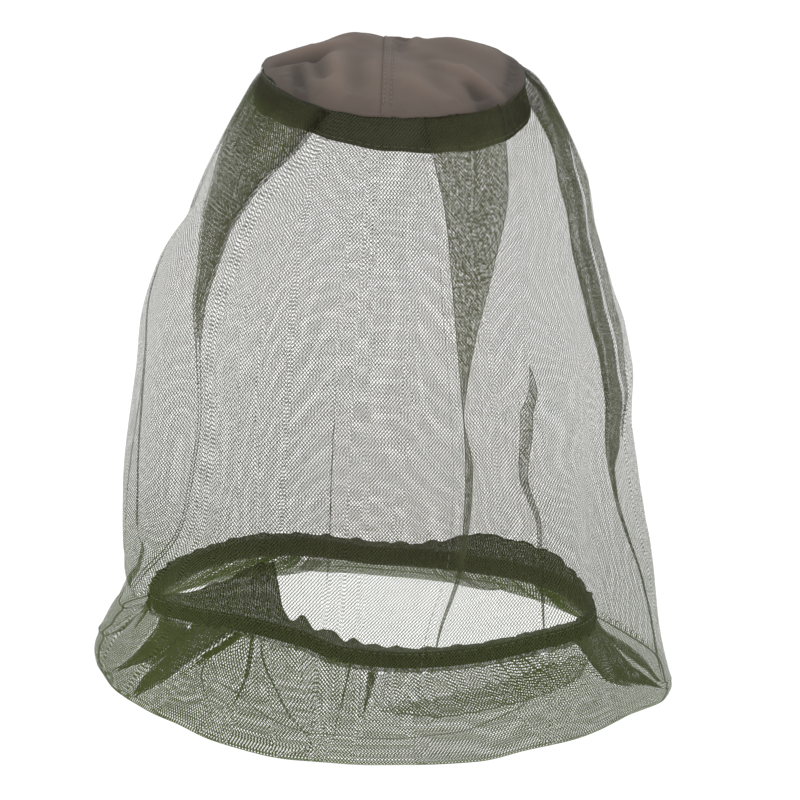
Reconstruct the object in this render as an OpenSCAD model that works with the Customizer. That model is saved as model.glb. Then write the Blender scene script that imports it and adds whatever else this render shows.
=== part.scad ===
// A pull-over insect veil: a flat cloth crown, an elastic headband, a bell of fine net that turns
// under at its foot, and an elastic hem that closes round the neck.
// Origin: centre of the headband's lower edge. +Z up, the wearer faces -Y.

/* [Headband] */
// Radius of the headband's inner face
band_r = 61; // [57:1:70]
// Height of the headband
band_h = 17; // [12:1:22]
// Thickness of one folded layer of band net
band_layer = 0.4; // [0.3:0.1:0.8]
// Thickness of the elastic inside the band
band_elastic_t = 1.1; // [0.8:0.1:1.6]

/* [Crown] */
// Height of the crown cloth above the headband
crown_rise = 9; // [6:1:20]
// Thickness of the crown cloth
crown_t = 0.8; // [0.5:0.1:1.2]
// Width of the seam lap down the middle of the crown
crown_lap_w = 5; // [3:1:8]

/* [Net bell] */
// Depth of the net's lowest fold below the headband
rim_depth = 290; // [240:5:340]
// Radius of the bell at its lowest fold
rim_r = 138; // [125:1:150]
// Radius the bell reaches at its shoulder, before it flares
shoulder_r = 127; // [115:1:135]
// Distance from the headband's top edge down to the shoulder
shoulder_drop = 230; // [180:5:235]
// How the bell swells below the headband: small for a wide shoulder, large for a straight slope
swell = 0.7; // [0.6:0.05:1]
// Thickness of the net shells
net_t = 0.8; // [0.6:0.1:1.2]
// Height at which the upper shell ends and the sliding lower shell begins
split_z = -130; // [-150:5:-125]
// Height over which the two shells overlap
split_lap = 5; // [3:1:8]
// Gap between the two shells where they overlap
split_gap = 0.5; // [0.4:0.1:1]
// Height of the net's collar, sewn to the outside of the headband
collar_h = 4; // [3:0.5:6]

/* [Neck hem] */
// Half the width of the neck opening, inside the hem
neck_a = 105; // [95:1:110]
// Half the depth of the neck opening, inside the hem
neck_b = 72; // [68:1:80]
// Radius of the neck opening's two ends
neck_end_r = 55; // [50:1:60]
// Height of the hem's casing
hem_h = 10; // [8:1:14]
// Height of the hem's lower edge above the net's lowest fold
hem_lift = 27; // [20:1:35]
// Thickness of one layer of the casing
hem_layer = 0.6; // [0.4:0.1:1]
// Thickness of the neck elastic
hem_elastic_t = 1.2; // [0.8:0.1:1.6]

/* [Thread] */
// Thickness of the sewing thread as it lies on the cloth
thread = 0.4; // [0.3:0.05:0.6]
// Length of one stitch
stitch = 2.6; // [2:0.1:3.5]
// Distance from one stitch to the next
stitch_pitch = 5; // [4:0.5:8]

/* [Hidden] */
$fn = 144;
cut = 2; // how far a cutting shape passes the face it cuts
sweep = 400; // larger than the whole veil
band_out = band_r + 2 * band_layer + band_elastic_t;
seam_turn = 13; // the net's closing seam lies this many degrees to the wearer's left of the front
join_turn = 95; // where the elastics' ends overlap, beside the seam and clear of it
rim_z = -rim_depth;
hem_z = rim_z + hem_lift;
drop = band_h - rim_z;
hem_out = 2 * hem_layer + hem_elastic_t;
oval_end_x = neck_a - neck_end_r; // centre of an end arc
oval_side_r = (pow(oval_end_x, 2) + pow(neck_b, 2) - pow(neck_end_r, 2)) / (2 * (neck_b - neck_end_r));
oval_side_y = oval_side_r - neck_b; // centre of a side arc, on the far side of the opening
crown_R = (band_out * band_out + crown_rise * crown_rise) / (2 * crown_rise);
crown_centre_z = band_h + crown_rise - crown_R;

// Inner radius of the bell, d below the headband's top edge: straight at the collar, then it swells to
// the shoulder and flares to the rim.
function net_r(d) = band_out
    + (shoulder_r - band_out)
        * pow(sin(90 * min(1, max(0, d - collar_h) / (shoulder_drop - collar_h))), swell)
    + (rim_r - shoulder_r) * pow(max(0, d - shoulder_drop) / (drop - shoulder_drop), 2);

// Points [radius, height] down the bell's profile between two heights, one step for each stitch.
function profile(z_top, z_foot) =
    let (steps = ceil((z_top - z_foot) / stitch_pitch))
    [for (i = [0:steps]) let (z = z_top + (z_foot - z_top) * i / steps) [net_r(band_h - z), z]];

// A layer of cloth turned from a profile, with its inner face out by off.
module bell(points, off) {
    face = [for (p = points) p + [off, 0]];
    back = [for (i = [len(points) - 1:-1:0]) face[i] + [net_t, 0]];
    rotate_extrude() polygon(concat(face, back));
}

module tube(r, t, z, h) {
    translate([0, 0, z]) difference() {
        cylinder(r = r + t, h = h);
        translate([0, 0, -cut]) cylinder(r = r, h = h + 2 * cut);
    }
}

// The neck opening's outline, grown by off: an oval of two end arcs and two side arcs.
module oval(off) {
    end_r = neck_end_r + off;
    side_r = oval_side_r + off;
    join_x = oval_end_x + end_r * oval_end_x / (oval_side_r - neck_end_r);
    intersection() {
        translate([0, oval_side_y]) circle(r = side_r);
        translate([0, -oval_side_y]) circle(r = side_r);
        square([2 * join_x, 4 * neck_b], center = true);
    }
    for (x = [-oval_end_x, oval_end_x]) translate([x, 0]) circle(r = end_r);
}

module oval_tube(off, t, z, h) {
    translate([0, 0, z]) linear_extrude(h) difference() {
        oval(off + t);
        oval(off);
    }
}

// A cap of crown cloth, its face raised by off.
module crown_cap(off) {
    intersection() {
        translate([0, 0, crown_centre_z]) difference() {
            sphere(r = crown_R + off, $fn = 360);
            sphere(r = crown_R + off - crown_t, $fn = 360);
        }
        translate([0, 0, band_h]) cylinder(r = band_out, h = crown_rise + off + cut);
    }
}

module keep_between(x_low, x_high) {
    intersection() {
        children();
        translate([x_low, -sweep / 2, -sweep]) cube([x_high - x_low, sweep, 2 * sweep]);
    }
}

// One stitch lying along X, its underside on the XY plane.
module one_stitch(long = stitch) translate([-long / 2, -thread / 2, 0]) cube([long, thread, thread]);

// A row of stitches round a wall of radius r, at height z.
module stitch_ring(r, z) {
    count = floor(2 * PI * r / stitch_pitch);
    for (i = [0:count - 1]) rotate(360 * (i + 0.5) / count)
        translate([0, -r, z]) rotate([90, 0, 0]) one_stitch();
}

// Stitches down the outside of a bell at the closing seam, one in the middle of each profile step,
// leaving some steps bare at each end.
module seam_stitches(points, off, bare_top, bare_foot) {
    for (i = [bare_top:len(points) - 2 - bare_foot]) {
        middle = (points[i] + points[i + 1]) / 2;
        step = points[i + 1] - points[i];
        rotate(seam_turn) translate([0, -middle.x - off - net_t, middle.y])
            rotate([90 - atan(-step.x / step.y), 0, 0]) rotate(90) one_stitch();
    }
}

module crown_left_panel() {
    color("rosybrown") keep_between(-sweep / 2, 0) crown_cap(0);
}

module crown_right_panel() {
    color("rosybrown") {
        keep_between(0, sweep / 2) crown_cap(0);
        keep_between(-crown_lap_w, crown_lap_w / 3) crown_cap(crown_t);
    }
}

module crown_seam_stitches() {
    face_R = crown_R + crown_t;
    half_turn = asin((band_out - stitch_pitch) / face_R);
    count = floor(2 * (band_out - stitch_pitch) / stitch_pitch);
    color("dimgray") for (x = [-0.8 * crown_lap_w, 0], i = [0:count])
        translate([x, 0, crown_centre_z]) rotate([half_turn * (2 * i / count - 1), 0, 0])
            translate([0, 0, sqrt(face_R * face_R - x * x)]) rotate(90) one_stitch();
}

module crown_edge_stitches() {
    color("darkolivegreen") stitch_ring(band_out + net_t, band_h - collar_h / 2);
}

module headband_casing() {
    color("darkolivegreen") difference() {
        tube(band_r, band_out - band_r, 0, band_h);
        tube(band_r + band_layer, band_elastic_t, band_layer, band_h + cut);
    }
}

module headband_elastic() {
    color("darkslategray") tube(band_r + band_layer, band_elastic_t, band_layer, band_h - 2 * band_layer);
}

// A zigzag tack through the band's outside, where the elastic's ends overlap.
module headband_elastic_join() {
    tacks = 5;
    turn = 2; // degrees between tacks
    color("black") for (i = [0:tacks - 1]) rotate(join_turn + turn * i)
        translate([0, -band_out, band_h / 2 - 2]) rotate([90, 0, 0]) rotate(90)
            one_stitch(band_h / 2);
}

module headband_hem_stitches() {
    color("darkolivegreen") stitch_ring(band_out, 1.6);
}

module net_upper() {
    color("olivedrab", 0.5) {
        bell(profile(band_h - collar_h, split_z), 0);
        tube(band_out, net_t, band_h - collar_h, collar_h);
    }
}

module net_seam_upper_stitches() {
    color("darkolivegreen") seam_stitches(profile(band_h - collar_h, split_z), 0, 1, 3);
}

module net_lower() {
    color("olivedrab", 0.5) bell(profile(split_z + split_lap, rim_z + net_t), net_t + split_gap);
}

module net_seam_lower_stitches() {
    color("darkolivegreen")
        seam_stitches(profile(split_z + split_lap, rim_z + net_t), net_t + split_gap, 1, 1);
}

// The net turned in under the bell and up to the hem: a shallow cone from the round rim to the oval.
module underfold_form() {
    shell_gap = net_t + split_gap;
    translate([0, 0, rim_z]) cylinder(r = rim_r + shell_gap + net_t, h = net_t);
    hull() {
        translate([0, 0, rim_z]) cylinder(r = net_r(drop - net_t) + shell_gap, h = net_t);
        translate([0, 0, hem_z - net_t]) linear_extrude(net_t) oval(hem_out);
    }
}

module net_underfold() {
    color("olivedrab", 0.5) difference() {
        underfold_form($fn = 96);
        translate([0, 0, -net_t]) underfold_form($fn = 96);
        translate([0, 0, rim_z - cut]) linear_extrude(hem_lift + 2 * cut) oval(0);
    }
}

module neck_casing() {
    color("darkolivegreen") difference() {
        oval_tube(0, hem_out, hem_z, hem_h);
        oval_tube(hem_layer, hem_elastic_t, hem_z + hem_layer, hem_h + cut);
    }
}

module neck_elastic() {
    color("black") oval_tube(hem_layer, hem_elastic_t, hem_z + hem_layer, hem_h - 2 * hem_layer);
}

// Puts a stitch on the casing's outer face where the outward direction is at this turn from +X.
module on_casing(turn, z) {
    on_end = abs(cos(turn)) > oval_end_x / (oval_side_r - neck_end_r);
    centre = on_end ? [sign(cos(turn)) * oval_end_x, 0] : [0, -sign(sin(turn)) * oval_side_y];
    radius = (on_end ? neck_end_r : oval_side_r) + hem_out;
    translate([centre.x, centre.y, z]) rotate(turn) translate([radius, 0, 0])
        rotate(90) rotate([90, 0, 0]) children();
}

// Turns of the outward direction for stitches at an even pitch along one quarter of the casing.
function quarter_turns() =
    let (
        join = acos(oval_end_x / (oval_side_r - neck_end_r)),
        ends = floor((neck_end_r + hem_out) * join * PI / 180 / stitch_pitch),
        sides = floor((oval_side_r + hem_out) * (90 - join) * PI / 180 / stitch_pitch)
    )
    concat([for (i = [0:ends - 1]) join * (i + 0.5) / ends],
        [for (i = [0:sides - 1]) join + (90 - join) * (i + 0.5) / sides]);

// The zigzag tack that holds the neck elastic's overlapped ends, at the side of the neck.
module neck_elastic_join() {
    tacks = 5;
    turn = 2; // degrees between tacks
    color("black") for (i = [0:tacks - 1])
        on_casing(turn * (i - tacks / 2), hem_z + 0.4 * hem_h) rotate(90) one_stitch(hem_h / 2);
}

module neck_casing_stitches() {
    color("darkolivegreen") for (turn = quarter_turns(), side = [turn, 180 - turn, 180 + turn, -turn])
        on_casing(side, hem_z + hem_h - 1.6) one_stitch();
}

crown_left_panel();
crown_right_panel();
crown_seam_stitches();
crown_edge_stitches();
headband_casing();
headband_elastic();
headband_elastic_join();
headband_hem_stitches();
net_upper();
net_seam_upper_stitches();
net_lower();
net_seam_lower_stitches();
net_underfold();
neck_casing();
neck_elastic();
neck_elastic_join();
neck_casing_stitches();
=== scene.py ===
"""Looks of the pull-over insect veil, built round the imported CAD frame. Metres; the face side is -Y."""
from math import atan2, copysign, cos, hypot, pi, radians, sin, sqrt

import bmesh
import bpy
import numpy as np
from mathutils import Matrix, Vector


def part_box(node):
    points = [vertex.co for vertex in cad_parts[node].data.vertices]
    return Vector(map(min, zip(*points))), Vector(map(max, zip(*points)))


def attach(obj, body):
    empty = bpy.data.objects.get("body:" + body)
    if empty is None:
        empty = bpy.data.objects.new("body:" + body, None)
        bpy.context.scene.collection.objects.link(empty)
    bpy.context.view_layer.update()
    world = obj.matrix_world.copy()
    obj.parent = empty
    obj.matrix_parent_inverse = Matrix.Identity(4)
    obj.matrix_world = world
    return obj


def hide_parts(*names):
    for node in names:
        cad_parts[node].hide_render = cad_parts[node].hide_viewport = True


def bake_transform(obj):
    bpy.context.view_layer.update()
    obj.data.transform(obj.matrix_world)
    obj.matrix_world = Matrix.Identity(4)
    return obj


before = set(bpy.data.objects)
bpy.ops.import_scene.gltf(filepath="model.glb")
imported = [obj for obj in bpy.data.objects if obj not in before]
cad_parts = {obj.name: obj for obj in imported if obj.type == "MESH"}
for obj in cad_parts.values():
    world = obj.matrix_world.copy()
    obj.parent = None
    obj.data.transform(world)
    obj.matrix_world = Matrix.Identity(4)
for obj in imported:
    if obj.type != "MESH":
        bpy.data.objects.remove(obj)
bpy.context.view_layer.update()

MM = 0.001
ROUND = 2 * pi

# ---------------------------------------------------------------- sizes read from the frame
band_low, band_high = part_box("headband_casing")
casing_low, casing_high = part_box("neck_casing")
fold_low, fold_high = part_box("net_underfold")
BAND_R = band_high[0]
BAND_INNER_R = 61 * MM  # the casing's inside, where it meets the head
BAND_FOOT, BAND_TOP = band_low[2], band_high[2]
HEM_A, HEM_B = casing_high[0], casing_high[1]
HEM_FOOT, HEM_TOP = casing_low[2], casing_high[2]
HEM_END_R = 57.4 * MM  # outer radius of the neck oval's end arcs
RIM_Z = fold_low[2]
RIM_R = fold_high[0] - 2 * MM
DROP = (BAND_TOP - RIM_Z) / MM  # depth of the wall below the band's top edge, in mm

# ---------------------------------------------------------------- small helpers


def smooth(x):
    x = np.clip(x, 0, 1)
    return x * x * (3 - 2 * x)


def bell_curve(x, centre, width):
    return np.exp(-(((x - centre) / width) ** 2))


def curve(points, at):
    """The value at a place of a smooth line, with no overshoot, through given points (place, value).
    at may be an array."""
    places, values = (np.array(column, float) for column in zip(*points))
    rise = np.diff(values) / np.diff(places)
    same_way = rise[:-1] * rise[1:]
    middle = 2 * same_way / np.where(same_way > 0, rise[:-1] + rise[1:], 1)
    slopes = np.concatenate([rise[:1], np.where(same_way > 0, middle, 0), rise[-1:]])
    k = np.clip(np.searchsorted(places, at, side="right") - 1, 0, len(places) - 2)
    step = places[k + 1] - places[k]
    t = np.clip((at - places[k]) / step, 0, 1)
    ends = (1 + 2 * t) * (1 - t) ** 2 * values[k] + t * t * (3 - 2 * t) * values[k + 1]
    return ends + step * (t * (1 - t) ** 2 * slopes[k] - t * t * (1 - t) * slopes[k + 1])


def signed(angle):
    """An angle in degrees brought into -180 to 180."""
    return (angle + 180) % 360 - 180


def by_angle(*points):
    """A smooth rule from given points (angle, mm). The rule gives metres at an angle."""
    return lambda angle: curve(points, signed(angle)) * MM


def power(value, exponent):
    """A signed power, which rounds the corners of a box that is drawn from sines."""
    return copysign(abs(value) ** exponent, value)


def mesh_object(name, verts, faces, material, **maps):
    """maps are UV maps by name, each with one (u, v) for each face corner. Cloth is in metres of cloth."""
    mesh = bpy.data.meshes.new(name)
    mesh.from_pydata(np.asarray(verts).tolist(), [], [list(map(int, f)) for f in faces])
    for layer_name, values in maps.items():
        layer = mesh.uv_layers.new(name=layer_name)
        layer.data.foreach_set("uv", np.asarray(values, np.float32).ravel())
    mesh.polygons.foreach_set("use_smooth", np.ones(len(mesh.polygons), bool))
    mesh.validate()
    mesh.update()
    obj = bpy.data.objects.new(name, mesh)
    bpy.context.scene.collection.objects.link(obj)
    mesh.materials.append(material)
    return obj


# ---------------------------------------------------------------- materials


class Nodes:
    """A short way to write a material's node tree."""

    def __init__(self, name):
        self.material = bpy.data.materials.new(name)
        self.material.use_nodes = True
        self.tree = self.material.node_tree
        self.shader = self.tree.nodes["Principled BSDF"]

    def add(self, kind, **inputs):
        """Inputs whose key starts with _ are the node's own settings, and come first."""
        node = self.tree.nodes.new(kind)
        for key, value in inputs.items():
            if key.startswith("_"):
                setattr(node, key[1:], value)
            else:
                self.feed(node, key, value)
        return node

    def feed(self, node, key, value):
        """key is an input's name without its spaces, or n and its number."""
        names = [s.name.replace(" ", "") for s in node.inputs]
        socket = node.inputs[int(key[1:]) if key[1:].isdigit() else names.index(key)]
        if isinstance(value, bpy.types.NodeSocket):
            self.tree.links.new(value, socket)
        else:
            socket.default_value = (*value, 1) if isinstance(value, tuple) else value

    def finish(self, **inputs):
        for key, value in inputs.items():
            self.feed(self.shader, key, value)
        return self.material

    def maths(self, operation, a, b=0.0, third=0.0, clamp=False):
        node = self.add("ShaderNodeMath", _operation=operation, _use_clamp=clamp, n0=a, n1=b, n2=third)
        return node.outputs[0]

    def times(self, a, b):
        return self.maths("MULTIPLY", a, b)

    def most(self, a, b):
        return self.maths("MAXIMUM", a, b)

    def ripple(self, across, pitch):
        """A sine from -1 to 1 along a length in metres."""
        return self.maths("SINE", self.times(across, ROUND / pitch))

    def mix(self, factor, a, b):
        return self.add("ShaderNodeMix", _data_type="RGBA", n0=factor, n6=a, n7=b).outputs[2]

    def cloth_uv(self, layer="Cloth"):
        uv = self.add("ShaderNodeUVMap", _uv_map=layer).outputs[0]
        split = self.add("ShaderNodeSeparateXYZ", Vector=uv)
        return split.outputs[0], split.outputs[1]

    def object_noise(self, scale, detail=3.0, rough=0.55):
        place = self.add("ShaderNodeTexCoord").outputs["Object"]
        inputs = {"Vector": place, "Scale": scale, "Detail": detail, "Roughness": rough}
        return self.add("ShaderNodeTexNoise", **inputs).outputs[0]

    def yarn(self, across, pitch, width, soft=0.06):
        """1 on a yarn and 0 in the gap, for yarns square to across, which is a length in metres.
        width is a yarn's share of the pitch."""
        turn = self.maths("FRACT", self.maths("DIVIDE", across, pitch))
        off = self.maths("ABSOLUTE", self.maths("SUBTRACT", turn, 0.5))
        half = self.maths("MULTIPLY_ADD", width, 0.5, third=soft / 2)
        return self.maths("DIVIDE", self.maths("SUBTRACT", half, off), soft, clamp=True)

    def slanted(self, u, v, degrees):
        turn = radians(degrees)
        return self.maths("ADD", self.times(u, cos(turn)), self.times(v, sin(turn)))

    def bump(self, height, strength, distance):
        return self.add("ShaderNodeBump", Height=height, Strength=strength, Distance=distance).outputs[0]


# The pleated colour is a brighter copy of the same yarn: a painted highlight for the light that the pleats'
# layers catch.
OPEN_NET, CROWDED_NET, PLEAT_HIGHLIGHT_NET = (0.048, 0.048, 0.024), (0.068, 0.096, 0.020), (0.080, 0.088, 0.040)
YARN_PITCH, YARN_SLANT = 1.3 * MM, 38  # the slant is in degrees from the cloth's width
# Each set of yarns: its width as a share of the pitch, and what crowding adds.
STRONG_YARN, WEAK_YARN = (0.235, 0.17), (0.115, 0.11)
WAVE_PITCH, WAVE_HEIGHT = 2.4 * MM, 0.08 * MM
FOLD_MARK, LINE_MARK = 0.36 * MM, 0.42 * MM  # how wide a pressed fold and a crease show dark


def net_material(name, open_colour, crowded_colour, cover=0.0, crowd=None):
    """Warp-knit net: two slanted sets of yarns with open diamonds between them. Where the net is gathered
    its yarns crowd together. crowd is how much, or None to read it from the cloth's own maps. cover is
    how much the gaps are filled."""
    n = Nodes(name)
    u, v = n.cloth_uv()
    grain = n.maths("SUBTRACT", n.object_noise(420), 0.5)
    pressed, pleated, layered = 0.0, 0.0, 0.0
    if crowd is None:
        crowd, fold_distance = n.cloth_uv("Crowd")
        pleated, layered = n.cloth_uv("Pleat")
        line_distance, line_strength = n.cloth_uv("Line")
        fold = n.maths("SUBTRACT", 1.25, n.maths("DIVIDE", fold_distance, FOLD_MARK), clamp=True)
        line_distance = n.maths("ABSOLUTE", line_distance)
        line = n.maths("SUBTRACT", 1.4, n.maths("DIVIDE", line_distance, LINE_MARK), clamp=True)
        pressed = n.most(n.times(fold, 0.85), n.times(line, line_strength))
    wave = n.times(n.ripple(v, WAVE_PITCH), WAVE_HEIGHT)
    close = n.maths("MULTIPLY_ADD", pleated, 0.14, third=n.maths("MULTIPLY_ADD", layered, -0.5, third=crowd))
    doubled = n.most(pleated, layered)
    speckle = n.times(n.maths("SUBTRACT", n.object_noise(620, 1.0), 0.5), n.times(doubled, 0.55))
    widths = []
    for base, more in (STRONG_YARN, WEAK_YARN):
        width = n.maths("MULTIPLY_ADD", close, more, third=n.maths("ADD", speckle, base))
        widths.append(n.maths("ADD", width, n.times(grain, 0.16)))
    strong = n.yarn(n.maths("ADD", n.slanted(u, v, -YARN_SLANT), wave), YARN_PITCH, widths[0], 0.04)
    weak = n.yarn(n.maths("SUBTRACT", n.slanted(u, v, YARN_SLANT), wave), YARN_PITCH, widths[1], 0.04)
    yarn = n.most(strong, weak)
    patch = n.object_noise(22, 4.0)
    shade = n.times(n.maths("ADD", n.object_noise(900, 2.0), patch), 0.5)
    tones = [
        n.mix(shade, tuple(0.45 * c for c in colour), tuple(1.65 * c for c in colour))
        for colour in (open_colour, crowded_colour, PLEAT_HIGHLIGHT_NET)
    ]
    # where the net is pleated the yarn turns to its brighter copy, a painted highlight
    return n.finish(
        BaseColor=n.mix(doubled, n.mix(crowd, tones[0], tones[1]), tones[2]),
        Roughness=0.7, SpecularIORLevel=0.08,
        Alpha=n.most(n.most(yarn, cover), pressed),
        Normal=n.bump(yarn, 0.5, 0.2 * MM),
    )


def crown_material():
    """Close plain weave, brown-grey with a mauve cast, with a painted highlight on its creases' ridges and
    painted shade in their valleys and at its slack edge.
    """
    n = Nodes("crown_cloth")
    u, v = n.cloth_uv()
    weave = n.times(n.ripple(u, 0.55 * MM), n.ripple(v, 0.62 * MM))
    slub = n.object_noise(260, 4.0, 0.6)
    patch = n.object_noise(28, 4.0, 0.6)
    # painted light and shade read from the crease map: above 0 a painted highlight, below 0 painted shade
    painted_shading = n.cloth_uv("Wear")[0]
    tone = n.mix(patch, (0.080, 0.062, 0.052), (0.140, 0.106, 0.088))
    tone = n.mix(n.times(slub, 0.45), tone, (0.080, 0.064, 0.056))
    tone = n.mix(n.times(n.maths("ADD", weave, 1.0), 0.13), tone, (0.17, 0.138, 0.118))
    # painted shade: darker towards near-black in the creases' valleys and at the slack edge
    tone = n.mix(n.maths("MULTIPLY", painted_shading, -1.0, clamp=True), tone, (0.038, 0.032, 0.027))
    height = n.maths("ADD", weave, n.times(slub, 3.0))
    # painted highlight: the base colour lightens on the creases' ridges
    return n.finish(
        BaseColor=n.mix(painted_shading, tone, (0.20, 0.150, 0.125)),
        Roughness=0.85, SpecularIORLevel=0.2, SheenWeight=0.05, SheenRoughness=0.45,
        Normal=n.bump(height, 0.35, 0.12 * MM),
    )


def band_material():
    """Net folded over the elastic: a fine slanted hatch of olive threads over a near-black ground, which is
    painted shade of the dense layers.
    """
    n = Nodes("band_net")
    u, v = n.cloth_uv()
    hatch = n.yarn(n.slanted(u, v, -YARN_SLANT), 1.25 * MM, 0.42, 0.2)
    cross = n.yarn(n.slanted(u, v, 40), 1.1 * MM, 0.28, 0.2)
    thread = n.most(hatch, n.times(cross, 0.5))
    patch = n.object_noise(60, 4.0)
    # painted shade: the ground between the threads is darkened for the folded layers' self-shadowing
    shaded_ground = n.mix(patch, (0.010, 0.011, 0.006), (0.017, 0.018, 0.009))
    yarn = n.mix(patch, (0.040, 0.044, 0.024), (0.064, 0.069, 0.040))
    return n.finish(
        BaseColor=n.mix(thread, shaded_ground, yarn),
        Roughness=0.8, SpecularIORLevel=0.2,
        Normal=n.bump(thread, 0.6, 0.2 * MM),
    )


def elastic_material():
    """Braided elastic: fine ribs along it, crossed by a herringbone."""
    n = Nodes("elastic")
    u, v = n.cloth_uv()
    rib = n.yarn(v, 1.1 * MM, 0.55, 0.3)
    braid = n.ripple(n.slanted(u, v, 25), 0.9 * MM)
    height = n.maths("ADD", rib, n.times(braid, 0.25))
    return n.finish(
        BaseColor=n.mix(n.object_noise(120), (0.016, 0.015, 0.010), (0.034, 0.031, 0.021)),
        Roughness=0.7, SpecularIORLevel=0.25,
        Normal=n.bump(height, 0.7, 0.3 * MM),
    )


def thread_material(name, colour):
    """Twisted sewing thread."""
    n = Nodes(name)
    place = n.add("ShaderNodeTexCoord").outputs["Object"]
    twist = n.add("ShaderNodeTexWave", Vector=place, Scale=900.0, Distortion=1.5).outputs["Fac"]
    return n.finish(
        BaseColor=n.mix(twist, tuple(0.6 * c for c in colour), colour),
        Roughness=0.55, SheenWeight=0.2,
        Normal=n.bump(twist, 0.4, 0.08 * MM),
    )


NET = net_material("net", OPEN_NET, CROWDED_NET)
HEM_NET = net_material("hem_net", (0.034, 0.036, 0.018), (0.037, 0.041, 0.019), cover=0.55, crowd=0.9)
CROWN = crown_material()
BAND = band_material()
ELASTIC = elastic_material()
THREAD = thread_material("thread", (0.075, 0.082, 0.048))
CROWN_THREAD = thread_material("crown_thread", (0.15, 0.118, 0.10))
TACK_THREAD = thread_material("tack_thread", (0.03, 0.03, 0.022))

# ---------------------------------------------------------------- camera, light and floor
FLOOR_HALF = 12
FLOOR_BELOW = 250 * MM  # how far the floor lies below the lowest fold: the veil hangs clear of it
AIM = Vector((0.0095, 0, -0.1506))  # where the camera looks
LIGHTS_AIM = Vector((0, 0, -0.13))
CAMERA_HEIGHT = radians(19.3)
CAMERA_ROLL = radians(2.3)
CAMERA_DISTANCE = 8


def set_stage():
    scene = bpy.context.scene
    scene.view_settings.view_transform = "Standard"
    world = bpy.data.worlds.new("soft white")
    world.use_nodes = True
    sky = world.node_tree.nodes["Background"].inputs
    sky["Color"].default_value, sky["Strength"].default_value = (1, 1, 1, 1), 0.92
    scene.world = world

    floor_z = RIM_Z - FLOOR_BELOW
    paint = Nodes("floor").finish(BaseColor=(0.93, 0.93, 0.92), Roughness=0.9, SpecularIORLevel=0.1)
    corners = [(x * FLOOR_HALF, y * FLOOR_HALF, floor_z) for x, y in ((-1, -1), (1, -1), (1, 1), (-1, 1))]
    mesh_object("floor", corners, [(0, 1, 2, 3)], paint)

    for name, place, power, size in (
        ("key", (-1.3, -1.6, 1.7), 24, 1.4),
        ("fill", (1.9, -1.2, 0.9), 8, 1.8),
        ("back", (0.4, 2.2, 1.6), 10, 1.8),
    ):
        light = bpy.data.lights.new(name, "AREA")
        light.energy, light.size = power, size
        lamp = bpy.data.objects.new(name, light)
        lamp.location = place
        lamp.rotation_euler = (LIGHTS_AIM - Vector(place)).to_track_quat("-Z", "Y").to_euler()
        scene.collection.objects.link(lamp)

    camera = bpy.data.cameras.new("camera")
    camera.lens, camera.sensor_width = 745, 36
    camera.clip_start, camera.clip_end = 0.05, 60
    eye = bpy.data.objects.new("camera", camera)
    away = Vector((0, -cos(CAMERA_HEIGHT), sin(CAMERA_HEIGHT)))
    eye.location = AIM + CAMERA_DISTANCE * away
    tilt = Matrix.Rotation(pi / 2 - CAMERA_HEIGHT, 4, "X")
    eye.rotation_euler = (tilt @ Matrix.Rotation(CAMERA_ROLL, 4, "Z")).to_euler()
    scene.collection.objects.link(eye)
    scene.camera = eye


set_stage()

# ---------------------------------------------------------------- the net's shape
# Places down the net are its drop d in mm: 0 at the band's top edge, DROP at the lowest fold, and then
# on to DROP + TURN_IN at the neck hem. Angles are in degrees from the front towards the wearer's left.
SHOULDER_R, SHOULDER_DROP = 127 * MM, 230
COLLAR, SWELL = 4, 0.7  # the bell starts below a short straight collar
TURN_IN = 40  # the underfold's share of the places, from the lowest fold to the hem
TURN_R = 3.2 * MM  # radius of the lowest fold


def bell_radius(d):
    """The CAD bell's own rule: it swells to the shoulder, then flares to the rim."""
    share = np.clip((d - COLLAR) / (SHOULDER_DROP - COLLAR), 0, 1)
    flare = (np.maximum(0, d - SHOULDER_DROP) / (DROP - SHOULDER_DROP)) ** 2
    return BAND_R + (SHOULDER_R - BAND_R) * np.sin(np.pi / 2 * share) ** SWELL + (RIM_R - SHOULDER_R) * flare


# How far each side of the limp bell stands out of the even one: (drop, mm).
LEFT_LEAN = [
    (0, 0), (5, -1), (11, -3), (24, -5), (60, -6), (82, -7), (108, -1), (130, 0), (165, -3), (235, -5),
    (258, -7), (270, -12.5), (280, -12), (292, -6.5), (DROP, -4),
]
RIGHT_LEAN = [
    (0, 0), (5, 5), (16, 3.5), (52, 2.5), (80, -3), (110, -4), (130, -2), (150, -2), (181, -6), (205, -4.5),
    (227, -1), (242, 2.6), (258, 5), (274, 6.5), (DROP, 8),
]


def lean(d, angle):
    side = np.sin(np.radians(angle))
    left, right = np.maximum(-side, 0) ** 2, np.maximum(side, 0) ** 2
    return (left * curve(LEFT_LEAN, d) + right * curve(RIGHT_LEAN, d)) * MM


# Long soft folds of the slack net: angle at the top, angle at the foot, width, how far they stand out.
SOFT_FOLDS = [
    (-20, -36, 11, 3.0), (-8, -9, 7, -2.4), (24, 30, 9, -3.2), (50, 47, 10, 3.2), (66, 58, 7, -2.6),
    (96, 104, 10, 3.4), (120, 126, 9, -3.4), (146, 140, 12, 3.0), (172, 168, 8, -3.0), (196, 205, 12, 3.4),
    (221, 228, 8, -3.2), (243, 238, 10, 3.2), (262, 256, 7, -3.6), (-66, -74, 8, 2.6), (-46, -58, 7, -3.4),
]


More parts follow.
